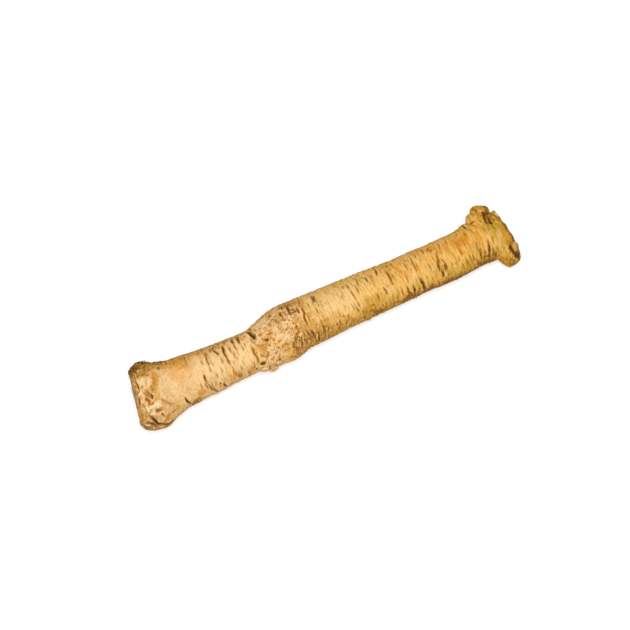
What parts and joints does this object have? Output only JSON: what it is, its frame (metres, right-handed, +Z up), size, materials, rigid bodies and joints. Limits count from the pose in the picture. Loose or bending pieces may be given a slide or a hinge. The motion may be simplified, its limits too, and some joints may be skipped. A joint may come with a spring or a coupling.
{
  "type": "horseradish root",
  "caption": "Long knobbly horseradish root lying on its side, with a flared trimmed crown, a corky swelling and a forked, knobbed lower end.",
  "frame": {"origin": "on the surface the root lies on, under the middle of its box", "axes": "+X along the root from its flared crown to its forked lower end, +Z up from the surface"},
  "size_m": [0.258, 0.0432, 0.0402],
  "materials": {
    "root_skin": "dry, finely ringed tan root skin with corky patches, brown scars and dark cracks"
  },
  "bodies": {
    "root": {"horseradish_root": "root_skin"}
  },
  "joints": []
}
